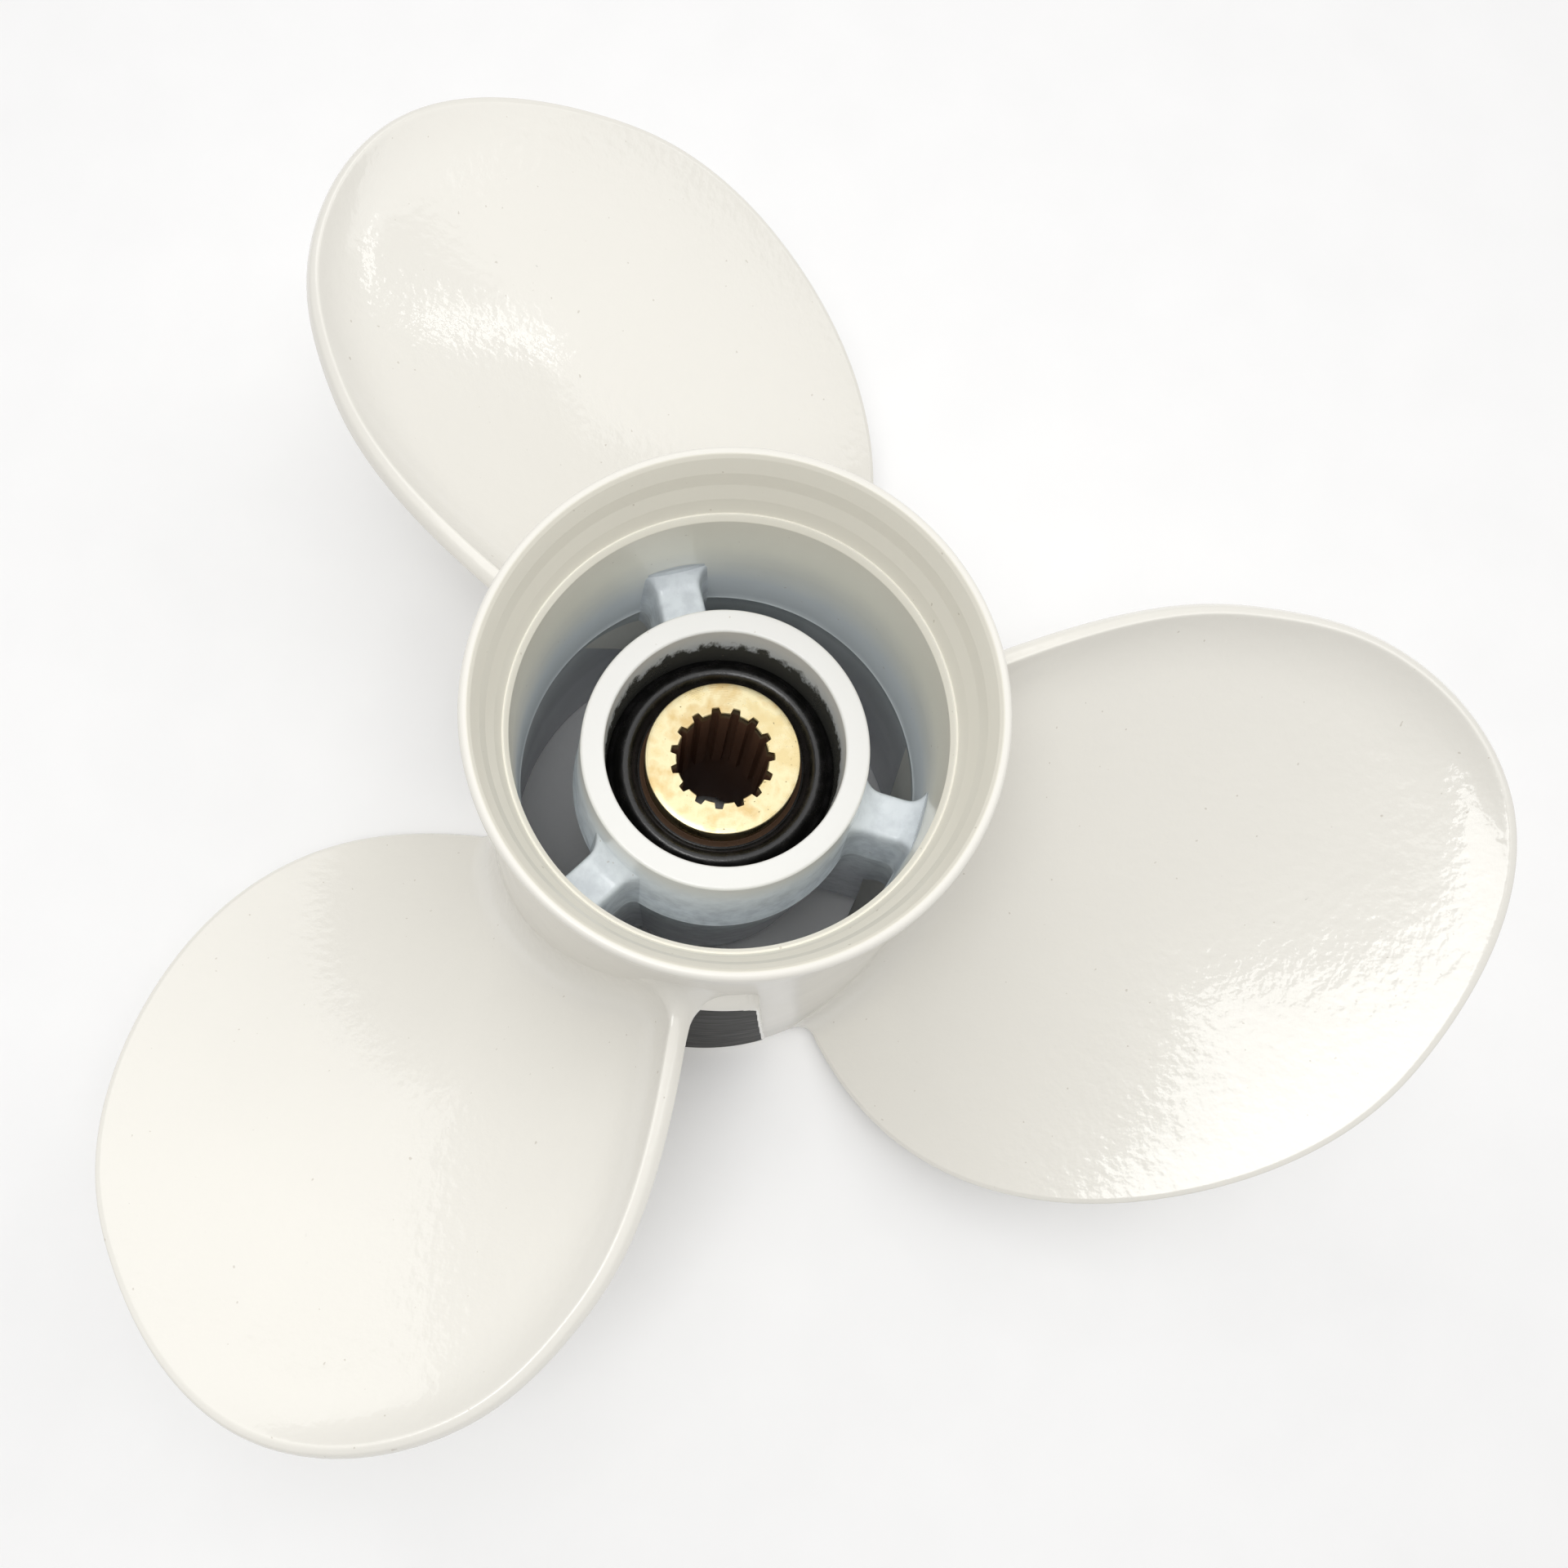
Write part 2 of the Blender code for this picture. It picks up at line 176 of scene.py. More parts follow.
def smooth_step(x):
    x = np.clip(x, 0, 1)
    return x * x * (3 - 2 * x)


def quarter_round(x):
    """Rises from 0 to 1 as a quarter circle does while x goes from 0 to 1."""
    x = np.clip(x, 0, 1)
    return np.sqrt(1 - (1 - x) ** 2)


def fillet_height(distance, radius):
    """How far a fillet stands off a wall at a distance from the corner's other wall."""
    inside = np.clip(1 - distance / radius, 0, 1)
    return radius * (1 - np.sqrt(1 - inside ** 2))


# Hub ------------------------------------------------------------------------------------------

def barrel_outside(z):
    return FRONT_RADIUS + (NECK_RADIUS - FRONT_RADIUS) * z / NECK_Z


def barrel_inside(z):
    return np.interp(z, [0, WAIST_Z, STEP_Z], [FRONT_BORE_RADIUS, WAIST_RADIUS, STEP_RADIUS])


def core_outside(z):
    return np.interp(z, [CORE_FRONT_Z, WAIST_Z, CORE_AFT_Z],
                     [CORE_FRONT_RADIUS, CORE_WAIST_RADIUS, CORE_AFT_RADIUS])


def make_barrel(paint):
    """Outer barrel: tapered outside, flared rim with soft rings, drafted exhaust passage."""
    flash = 0.00025
    outside = [(RIM_RADIUS - 0.0002, HUB_LENGTH, 0.0012), (RIM_RADIUS, 0.1110, 0.002),
               (0.0511, 0.1068, 0.006), (NECK_RADIUS + 0.0002, 0.1005, 0.012),
               (barrel_outside(0.085), 0.085, 0), (barrel_outside(0.045), 0.045, 0),
               (FRONT_RADIUS - 0.0001, 0.0, 0.0022)]
    passage = [(FRONT_BORE_RADIUS, 0.0, 0.0012), (barrel_inside(0.03), 0.03, 0),
               (WAIST_RADIUS, WAIST_Z - 0.0004, 0), (WAIST_RADIUS - flash, WAIST_Z, 0),
               (WAIST_RADIUS, WAIST_Z + 0.0004, 0),
               (barrel_inside(0.08), 0.08, 0), (STEP_RADIUS, STEP_Z - 0.0005, 0.0006)]
    step_lip = [(0.0447, 0.1008, 0.0003), (0.0450, 0.1012, 0.0001), (0.0453, 0.1010, 0.0001)]
    rim_rings = [(0.0464, 0.1045, 0.0010), (0.0477, 0.1076, 0.0010), (0.0485, 0.1103, 0.0010),
                 (0.0498, 0.1134, 0.0010), (0.0504, HUB_LENGTH, 0.0006)]
    turned("barrel", rounded(outside + passage + step_lip + rim_rings), [paint], "casting",
           ["outer_hub"])


def make_core(paint):
    """Inner hub: a drafted tube with the bush's bore, and a shoulder in front of the bush."""
    flash = 0.0002
    shoulder_z = BUSH_FRONT_Z - 0.0003
    front_bore = 0.0225
    outside = [(CORE_AFT_RADIUS, CORE_AFT_Z, 0.0007),
               (CORE_WAIST_RADIUS, WAIST_Z + 0.0004, 0),
               (CORE_WAIST_RADIUS + flash, WAIST_Z, 0), (CORE_WAIST_RADIUS, WAIST_Z - 0.0004, 0),
               (CORE_FRONT_RADIUS, CORE_FRONT_Z, 0.0012)]
    inside = [(front_bore, CORE_FRONT_Z, 0.0010), (front_bore, shoulder_z, 0),
              (CORE_BORE_RADIUS, shoulder_z, 0), (CORE_BORE_RADIUS, 0.060, 0),
              (CORE_BORE_RADIUS, 0.072, 0), (CORE_BORE_RADIUS, 0.080, 0),
              (CORE_BORE_RADIUS, CORE_AFT_Z, 0.0006)]
    turned("hub_core", rounded(outside + inside), [paint], "casting", ["inner_hub"])


def make_rib(number, paint):
    """A rib with drafted sides and fillets that run into both walls."""
    across = 29
    aft_z = RIB_AFT_Z + 0.0015
    corner = 0.0011
    wall_fillet = 0.0034
    top_fillet = 0.0050
    levels = np.concatenate([[RIB_FRONT_Z, 0.03, 0.045, WAIST_Z - 0.0003, WAIST_Z,
                              WAIST_Z + 0.0003], np.linspace(0.064, aft_z - corner, 5)])
    shares = (1 - np.cos(np.linspace(0, pi, across))) / 2
    span = barrel_inside(aft_z) - core_outside(aft_z)
    rows = []
    for share in shares:
        from_in, from_out = share * span, (1 - share) * span
        rise = fillet_height(from_in, top_fillet) + fillet_height(from_out, top_fillet)
        spread = fillet_height(from_in, wall_fillet) + fillet_height(from_out, wall_fillet)
        side = []
        for z in levels:
            lift = rise * (z - WAIST_Z) / (aft_z - WAIST_Z) if z > WAIST_Z + 0.001 else 0
            side.append((half_width(z) + spread, z + lift))
        for k in range(1, 7):
            turn = pi / 2 * k / 6
            side.append((half_width(aft_z) + spread - corner * (1 - cos(turn)),
                         aft_z + rise - corner * (1 - sin(turn))))
        top = side[-1][0]
        half = side + [(top * (1 - k / 4), side[-1][1]) for k in range(1, 4)]
        section = half + [(0.0, side[-1][1])] + [(-y, z) for y, z in reversed(half)]
        loop = []
        for y, z in section:
            inner = sqrt(core_outside(z) ** 2 - y * y) - 0.0003
            outer = sqrt(barrel_inside(z) ** 2 - y * y) + 0.0003
            loop.append((inner + (outer - inner) * share, y, z))
        rows.append(loop)
    columns = len(rows[0])
    points = np.array(rows).reshape(-1, 3)
    faces = grid_faces(across, columns, wrap_columns=True)
    faces.append(tuple(range(columns)))
    faces.append(tuple(reversed(range((across - 1) * columns, across * columns))))
    rib = add_piece(f"rib_{number}_web", points, faces, [paint], "casting",
                    [f"rib_{number}"])
    place_round(rib, RIB_ANGLE + number * tau / BLADE_COUNT)


def half_width(z):
    """Half a rib's thickness: widest at the waist, drafted towards both ends."""
    return np.interp(z, [RIB_FRONT_Z, WAIST_Z, RIB_AFT_Z + 0.0015], [0.0052, 0.0064, 0.0049])


def place_round(piece, angle):
    """Turns a piece's mesh about the shaft's axis."""
    piece.data.transform(Matrix.Rotation(angle, 4, "Z"))


# Stamping pads --------------------------------------------------------------------------------

def make_pad(number, paint, shade_face_paint):
    """A raised pad on the barrel beside a blade's trailing edge, whose flat face carries
    near-black painted shade.
    """
    rows, columns = 110, 64
    margin = 0.0014
    z = np.linspace(PAD_FRONT_Z, PAD_AFT_Z + margin, rows)[:, None]
    share = np.clip((z - PAD_FRONT_Z) / (PAD_AFT_Z - PAD_FRONT_Z), 0, 1)
    radius = barrel_outside(z)
    end = PAD_END_FRONT + (PAD_END_AFT - PAD_END_FRONT) * share
    across = 1 - (1 - np.linspace(0, 1, columns)[None, :]) ** 1.6
    angle = PAD_START + (end + margin / radius - PAD_START) * across
    from_side = (end - angle) * radius
    from_aft = PAD_AFT_Z - z + 0 * angle
    corner = 0.0036
    dx = np.clip(corner - from_side, 0, None)
    dz = np.clip(corner - from_aft, 0, None)
    inset = np.where((dx > 0) & (dz > 0), corner - np.hypot(dx, dz),
                     np.minimum(from_side, from_aft))
    rise = 0.0006 + (0.0034 - 0.0006) * share
    slope = 0.0009 + 0.0018 * np.clip(1 - from_aft / 0.004, 0, 1)
    edge = quarter_round((inset + 0.0003) / slope)
    foot = smooth_step((inset + margin) / (margin + 0.0003))
    height = rise * (0.85 * edge + 0.15 * foot) - 0.0003
    outer = np.stack([(radius + height) * np.cos(angle), (radius + height) * np.sin(angle),
                      z + 0 * angle], axis=-1)
    under = radius - 0.0008
    inner = np.stack([under * np.cos(angle), under * np.sin(angle), z + 0 * angle], axis=-1)
    points = np.concatenate([outer.reshape(-1, 3), inner.reshape(-1, 3)])
    size = rows * columns
    faces = [tuple(reversed(f)) for f in grid_faces(rows, columns)]
    faces += grid_faces(rows, columns, base=size)
    border = list(range(columns))
    border += [i * columns + columns - 1 for i in range(1, rows)]
    border += [(rows - 1) * columns + k for k in range(columns - 2, -1, -1)]
    border += [i * columns for i in range(rows - 2, 0, -1)]
    for a, b in zip(border, border[1:] + border[:1]):
        faces.append((a, b, size + b, size + a))
    pad = add_piece(f"stamping_pad_{number}_boss", points, faces, [paint, shade_face_paint],
                    "casting", [f"stamping_pad_{number}"])
    # The flat part of the face gets the near-black painted shade.
    flat = (inset > 0.7 * slope).reshape(-1)
    for polygon in pad.data.polygons:
        corners = list(polygon.vertices)
        if max(corners) < size and all(flat[k] for k in corners):
            polygon.material_index = 1
    place_round(pad, number * tau / BLADE_COUNT)


# Blades ---------------------------------------------------------------------------------------

def outline_samples(count):
    """Points of a clamped cubic B-spline through OUTLINE's control points."""
    degree = 3
    spans = len(OUTLINE) - degree
    knots = [0.0] * degree + [i / spans for i in range(spans + 1)] + [1.0] * degree
    samples = []
    for t in np.linspace(0, 1, count):
        span = min(int(t * spans), spans - 1) + degree
        local = [np.array(OUTLINE[span - degree + i], float) for i in range(degree + 1)]
        for level in range(1, degree + 1):
            for i in range(degree, level - 1, -1):
                start = knots[span - degree + i]
                share = (t - start) / (knots[span + 1 + i - level] - start)
                local[i] = local[i - 1] + share * (local[i] - local[i - 1])
        samples.append(local[degree])
    samples = np.array(samples)
    radius = samples[:, 0] * TIP_RADIUS / samples[:, 0].max()
    return radius, np.radians(samples[:, 1])


def face_height(radius, angle):
    """Height of the blade's aft face, a raked screw surface."""
    share = (radius - ROOT_REFERENCE) / (TIP_RADIUS - ROOT_REFERENCE)
    return FACE_HEIGHT + PITCH * angle / tau + RAKE_LINEAR * share + RAKE_CURVED * share ** 2


def face_point(radius, angle):
    return np.stack([radius * np.cos(angle), radius * np.sin(angle),
                     face_height(radius, angle)], axis=-1)


class Planform:
    """The blade's outline, and rows across it that fan out round the tip."""

    def __init__(self):
        radius, angle = outline_samples(1201)
        z = face_height(radius, angle)
        root = barrel_outside(z)
        level = (radius - root) / (TIP_RADIUS - root)
        tip = int(np.argmax(radius))
        self.curve = face_point(radius, angle)
        self.tangent = np.gradient(self.curve, axis=0)
        self.tangent /= np.linalg.norm(self.tangent, axis=1, keepdims=True)
        self.trailing = np.arange(len(radius)) / tip
        past = self.trailing > 1
        self.trailing[past] = 1 + (np.arange(len(radius))[past] - tip) / (len(radius) - 1 - tip)
        depth = np.sqrt(np.clip(1 - level, 0, None))
        self.lead = depth[:tip + 1][::-1], angle[:tip + 1][::-1]
        self.trail = depth[tip:], angle[tip:]

    def place(self, row, column):
        """Level (0 at the hub, 1 at the tip's radius) and angle of a point.

        row goes from 0 at the hub to 1 at the tip, column from -1 at the leading edge to 1 at
        the trailing edge."""
        depth = 1 - row
        edge_level = 1 - depth ** 2
        spine_level = edge_level * (1 - edge_level * (1 - FAN_LEVEL))
        lead = np.interp(depth, *self.lead)
        trail = np.interp(depth, *self.trail)
        level = edge_level - (edge_level - spine_level) * (1 - column ** 2)
        return level, (lead + trail) / 2 + column * (trail - lead) / 2

    def edge(self, points):
        """Distance of points to the outline, and how far along it they lie (0 leading edge's
        root, 1 tip, 2 trailing edge's root)."""
        shape = points.shape[:-1]
        flat = points.reshape(-1, 3)
        distance = np.empty(len(flat))
        along = np.empty(len(flat))
        for start in range(0, len(flat), 2000):
            part = slice(start, start + 2000)
            gap = np.linalg.norm(flat[part, None, :] - self.curve[None, :, :], axis=-1)
            nearest = gap.argmin(axis=1)
            away = flat[part] - self.curve[nearest]
            aside = np.sum(away * self.tangent[nearest], axis=1)
            distance[part] = np.sqrt(np.clip(np.sum(away ** 2, axis=1) - aside ** 2, 0, None))
            along[part] = self.trailing[nearest]
        return distance.reshape(shape), along.reshape(shape)


def edge_columns():
    """Column values from leading to trailing edge, closest together at the edges."""
    inward = np.array([0, 0.02, 0.06, 0.13, 0.22, 0.33, 0.45, 0.58, 0.71, 0.84, 0.97, 1.10,
                       1.23, 1.36, 1.50, 1.65, 1.82, 2.05, 2.35, 2.75, 3.3, 4.0, 4.9, 6.0, 7.4,
                       9.0, 11, 13.5, 16.5, 20, 24, 29, 35, 42]) / 50
    left = -1 + inward
    return np.concatenate([left, [0.0], -left[::-1]])


def blade_offsets(distance, along, level, column):
    """Offsets of the aft and fore surfaces forward of the raked screw surface."""
    trailing = smooth_step((along - 0.86) / 0.5) * (0.70 + 0.30 * np.clip(along - 1, 0, 1))
    crest = 0.0012 + 0.0006 * trailing
    drop = 0.0008 + 0.0034 * trailing
    lip = 0.0038 * trailing
    share = distance / crest
    inward = np.clip(1 - distance / 0.070, 0, 1) ** 2
    hollow = np.minimum((distance - crest) / 0.014, 1)
    outer_band = -drop * (0.40 * quarter_round(share / 0.35) + 0.60 * share)
    inner_side = -drop + lip * (1 - (1 - hollow) ** 2)
    gap = outer_band - inner_side
    aft = (outer_band + inner_side + np.sqrt(gap ** 2 + 0.0006 ** 2 * trailing)) / 2
    aft = np.where(distance < 1e-5, 0, aft) * inward
    nose = 0.0007 + 0.0006 * trailing
    bulge = (TIP_BULGE + (ROOT_BULGE - TIP_BULGE) * (1 - np.clip(level, 0, 1)) ** 0.8)
    body = bulge * (1 - column ** 2) * smooth_step(distance / 0.025 + 0.1)
    fore = nose * quarter_round(distance / (0.0008 + nose)) + body
    return aft, np.maximum(fore, aft)


def blade_surface(planform, row, column, aft_side):
    """Radius, angle and height of points on one surface of the blade."""
    level, angle = planform.place(row, column)
    radius = ROOT_REFERENCE + level * (TIP_RADIUS - ROOT_REFERENCE)
    for _ in range(6):
        root = barrel_outside(face_height(radius, angle))
        radius = root + level * (TIP_RADIUS - root)
    distance, along = planform.edge(face_point(radius, angle))
    aft, fore = blade_offsets(distance, along, level, column)
    offset = aft if aft_side else fore
    around = PITCH / tau / radius
    share = (radius - ROOT_REFERENCE) / (TIP_RADIUS - ROOT_REFERENCE)
    outward = (RAKE_LINEAR + 2 * RAKE_CURVED * share) / (TIP_RADIUS - ROOT_REFERENCE)
    outward = outward * smooth_step(level / 0.3)
    length = np.sqrt(1 + around ** 2 + outward ** 2)
    z = face_height(radius, angle) - offset / length
    turn = angle + offset * around / length / radius
    root = barrel_outside(z)
    near = radius + offset * outward / length
    radius = np.where(level < 0.3, root + level * (TIP_RADIUS - root) + (near - radius), near)
    return radius, turn, z


def make_blade(number, paint, planform):
    """A blade with a cupped, thick trailing edge, and fillets that run out on the barrel.

    Each row is a loop, out along the aft side and back along the fore side. The first rows
    climb the root's fillet from the barrel, and the others run from there to the tip."""
    columns = edge_columns()
    loop_columns = np.concatenate([columns, columns[-2:0:-1]])
    aft_side = np.arange(len(loop_columns)) < len(columns)
    bow = 1 - np.abs(loop_columns) ** 5
    behind = smooth_step((loop_columns - 0.4) / 0.6)
    edge_fillet = 0.0046 + 0.0034 * behind
    fillet = edge_fillet + bow * (np.where(aft_side, 0.0090, 0.0065) - edge_fillet)
    reach = TIP_RADIUS - 0.055
    turns = np.linspace(0, pi / 2, FILLET_ROWS)
    heights = [np.full_like(fillet, -0.0002)] + [fillet * (1 - cos(a)) for a in turns]
    first = 1 - np.sqrt(1 - fillet / reach)
    rows = [1 - np.sqrt(1 - h / reach) for h in heights]
    shares = np.linspace(0, 1, BLADE_ROWS)[1:]
    rows += [first + (1 - first) * share for share in shares]
    row = np.array(rows)
    column = np.broadcast_to(loop_columns, row.shape)
    aft = blade_surface(planform, row, column, True)
    fore = blade_surface(planform, row, column, False)
    radius, turn, z = [np.where(aft_side, a, f) for a, f in zip(aft, fore)]
    stand_off = [fillet] + [fillet * (1 - sin(a)) for a in turns]
    for i, offset in enumerate(stand_off):
        around, up = turn[i] * radius[i], z[i]
        d_around = np.roll(around, -1) - np.roll(around, 1)
        d_up = np.roll(up, -1) - np.roll(up, 1)
        length = np.hypot(d_around, d_up)
        out_around, out_up = -d_up / length, d_around / length
        z[i] = np.maximum(up + offset * out_up, np.minimum(up, 0.0004))
        radius[i] = barrel_outside(z[i]) + heights[i]
        turn[i] = (around + offset * out_around) / radius[i]
    points = np.stack([radius * np.cos(turn), radius * np.sin(turn), z], axis=-1)
    size = row.shape[1]
    faces = grid_faces(row.shape[0], size, wrap_columns=True)
    faces.append(tuple(range(size)))
    blade = add_piece(f"blade_{number}_skin", points.reshape(-1, 3), faces, [paint],
                      "casting", [f"blade_{number}"])
    weld(blade)
    place_round(blade, number * tau / BLADE_COUNT)


def weld(piece):
    """Joins the rows that meet along the blade's tip line, and turns all faces outwards."""
    build = bmesh.new()
    build.from_mesh(piece.data)
    bmesh.ops.remove_doubles(build, verts=build.verts, dist=0.000002)
    bmesh.ops.recalc_face_normals(build, faces=build.faces)
    build.to_mesh(piece.data)
    build.free()


# Bush and sleeve ------------------------------------------------------------------------------

def make_bush(rubber):
    """Rubber bush: a dished end face with a rounded ridge and a lip against the sleeve."""
    outer = CORE_BORE_RADIUS - 0.0001
    inner = SLEEVE_RADIUS + 0.0001
    ridge = [(0.0213 + 0.0021 * cos(a), BUSH_FACE_Z + 0.0023 * sin(a))
             for a in np.linspace(0.15 * pi, 0.85 * pi, 14)]
    profile = [(outer, BUSH_FRONT_Z), (outer, 0.05), (outer, BUSH_FACE_Z - 0.0020),
               (outer - 0.0003, BUSH_FACE_Z - 0.0012), (outer - 0.0010, BUSH_FACE_Z - 0.0008),
               (0.0238, BUSH_FACE_Z - 0.0006)]
    profile += ridge
    profile += [(0.0190, BUSH_FACE_Z - 0.0002), (0.0184, BUSH_FACE_Z - 0.0008),
                (0.0178, BUSH_FACE_Z - 0.0006), (0.0173, BUSH_FACE_Z + 0.0002),
                (inner, BUSH_FACE_Z + 0.0004), (inner, 0.05), (inner, BUSH_FRONT_Z)]
    turned("torsion_bush", profile, [rubber], "bush", ["rubber_bush"],
           sharp=radians(60))


def spline_radius(angle):
    """The splined bore's wall: teeth with slightly sloping flanks and rounded roots."""
    pitch = tau / SPLINE_TEETH
    across = np.abs((angle / pitch) % 1 - 0.5) * pitch
    half_space, flank = radians(4.6), radians(1.5)
    return SPLINE_MINOR_RADIUS + (SPLINE_MAJOR_RADIUS - SPLINE_MINOR_RADIUS) * smooth_step(
        (half_space + flank / 2 - across) / flank)


def make_sleeve(brass):
    """Brass sleeve: chamfered end, splined aft half, plain bore in front."""
    pitch = tau / SPLINE_TEETH
    steps = np.sort(np.concatenate([np.linspace(-0.5, 0.5, 13)[:-1],
                                    np.linspace(-0.24, -0.14, 9), np.linspace(0.14, 0.24, 9)]))
    angles = np.concatenate([(k + steps) * pitch for k in range(SPLINE_TEETH)])
    wall = spline_radius(angles)
    plain = np.full_like(wall, SPLINE_MAJOR_RADIUS + 0.0002)
    outer = np.full_like(wall, SLEEVE_RADIUS)
    chamfer, break_edge = 0.0005, 0.0002
    rings = [(outer - chamfer, SLEEVE_FRONT_Z), (outer, SLEEVE_FRONT_Z + chamfer),
             (outer, 0.045), (outer, SLEEVE_AFT_Z - chamfer),
             (outer - 0.3 * chamfer, SLEEVE_AFT_Z - 0.25 * chamfer),
             (outer - chamfer, SLEEVE_AFT_Z)]
    for share in (0.2, 0.4, 0.6, 0.8):
        rings.append((outer - chamfer + share * (wall + break_edge - outer + chamfer),
                      SLEEVE_AFT_Z))
    rings += [(wall + break_edge, SLEEVE_AFT_Z), (wall, SLEEVE_AFT_Z - break_edge),
              (wall, 0.065), (wall, SPLINE_FRONT_Z), (plain, SPLINE_FRONT_Z),
              (plain, SLEEVE_FRONT_Z + chamfer), (plain + chamfer, SLEEVE_FRONT_Z)]
    radius = np.stack([r for r, _ in rings], axis=1)
    height = np.array([z for _, z in rings])[None, :] + 0 * radius
    turn = angles[:, None]
    points = np.stack([radius * np.cos(turn), radius * np.sin(turn), height], axis=-1)
    faces = grid_faces(len(angles), len(rings), wrap_rows=True, wrap_columns=True)
    add_piece("spline_sleeve", points.reshape(-1, 3), faces, [brass], "sleeve",
              ["splined_sleeve"], sharp=radians(30))


# Materials ------------------------------------------------------------------------------------

class Shader:
    """A Principled material and short ways to add and link its nodes."""

    def __init__(self, name):
        self.material = bpy.data.materials.new(name)
        self.material.use_nodes = True
        self.tree = self.material.node_tree
        self.bsdf = self.tree.nodes["Principled BSDF"]
        self.where = self.tree.nodes.new("ShaderNodeTexCoord").outputs["Object"]

    def node(self, kind, **settings):
        made = self.tree.nodes.new("ShaderNode" + kind)
        for key, value in settings.items():
            setattr(made, key, value)
        return made

    def link(self, source, socket):
        self.tree.links.new(source, socket)

    def set(self, **values):
        for key, value in values.items():
            self.bsdf.inputs[key.replace("_", " ")].default_value = value

    def noise(self, scale, detail=3.0, roughness=0.5, stretch=None, seed=0.0):
        """Noise in object space; its scale is in features per metre."""
        texture = self.node("TexNoise", noise_dimensions="4D")
        texture.inputs["Scale"].default_value = scale
        texture.inputs["Detail"].default_value = detail
        texture.inputs["Roughness"].default_value = roughness
        texture.inputs["W"].default_value = seed
        source = self.where
        if stretch:
            mapping = self.node("Mapping")
            mapping.inputs["Scale"].default_value = stretch
            self.link(source, mapping.inputs["Vector"])
            source = mapping.outputs["Vector"]
        self.link(source, texture.inputs["Vector"])
        return texture.outputs["Fac"]

    def ramp(self, source, *stops):
        """Colours or greys along a value, given as (position, value)."""
        made = self.node("ValToRGB")
        elements = made.color_ramp.elements
        while len(elements) < len(stops):
            elements.new(0.5)
        for element, (position, value) in zip(elements, stops):
            element.position = position
            colour = value if isinstance(value, tuple) else (value, value, value)
            element.color = (*colour, 1.0)
        self.link(source, made.inputs["Fac"])
        return made.outputs["Color"]

    def mix(self, factor, first, second):
        """Colour mix; each side is a socket or a colour."""
        made = self.node("Mix", data_type="RGBA")
        for socket, value in ((0, factor), (6, first), (7, second)):
            if isinstance(value, (tuple, float)):
                made.inputs[socket].default_value = (*value, 1.0) if socket else value
            else:
                self.link(value, made.inputs[socket])
        return made.outputs[2]

    def maths(self, operation, first, second=0.0, clamp=False):
        made = self.node("Math", operation=operation, use_clamp=clamp)
        for socket, value in enumerate((first, second)):
            if isinstance(value, (int, float)):
                made.inputs[socket].default_value = value
            else:
                self.link(value, made.inputs[socket])
        return made.outputs[0]

    def axis(self, name):
        """A coordinate, X, Y or Z, in metres."""
        split = self.node("SeparateXYZ")
        self.link(self.where, split.inputs[0])
        return split.outputs[name]

    def line(self, source, start, slope):
        """A value that starts at start and changes by slope times the source."""
        return self.maths("ADD", start, self.maths("MULTIPLY", source, slope))

    def from_shaft(self):
        """Distance from the shaft's axis."""
        squares = [self.maths("MULTIPLY", self.axis(k), self.axis(k)) for k in "XY"]
        return self.maths("SQRT", self.maths("ADD", *squares))

    def scale_to(self, source, low, high):
        """A value's place between low and high, as 0 to 1."""
        made = self.node("MapRange")
        made.inputs["From Min"].default_value = low
        made.inputs["From Max"].default_value = high
        self.link(source, made.inputs["Value"])
        return made.outputs[0]

    def bump(self, source, distance, below=None):
        """Relief of a height in metres, on top of the relief below."""
        made = self.node("Bump")
        made.inputs["Distance"].default_value = distance
        made.inputs["Strength"].default_value = 1.0
        self.link(source, made.inputs["Height"])
        if below:
            self.link(below, made.inputs["Normal"])
        self.link(made.outputs[0], self.bsdf.inputs["Normal"])
        self.link(made.outputs[0], self.bsdf.inputs["Coat Normal"])
        return made.outputs[0]


def coat_and_painted_shade(shader, outer_coat, stops):
    """Colours inside the hub given by height: a thinner coat over grey primer, with painted
    shade, painted light and a painted bluish reflection laid into it, up to the middle of the
    barrel's wall. Its levels wander a little."""
    wobble = 0.05
    # The height ramp holds painted shade, painted light and a painted bluish reflection over the
    # thinner coat.
    uneven = shader.noise(70.0, detail=5.0, seed=2.0)
    level = shader.scale_to(shader.axis("Z"), 0.0, HUB_LENGTH)
    shifted = shader.maths("ADD", level, shader.maths("MULTIPLY", uneven, wobble))
    coat_and_shade = shader.ramp(shifted, *[(z / HUB_LENGTH + wobble / 2, c) for z, c in stops])
    middle_of_wall = shader.line(shader.axis("Z"), 0.0558, -0.095)
    middle_of_rim = shader.line(shader.axis("Z"), 0.0208, 0.26)
    limit = shader.maths("MAXIMUM", middle_of_wall, middle_of_rim)
    inside = shader.maths("LESS_THAN", shader.from_shaft(), limit)
    return shader.mix(inside, outer_coat, coat_and_shade)


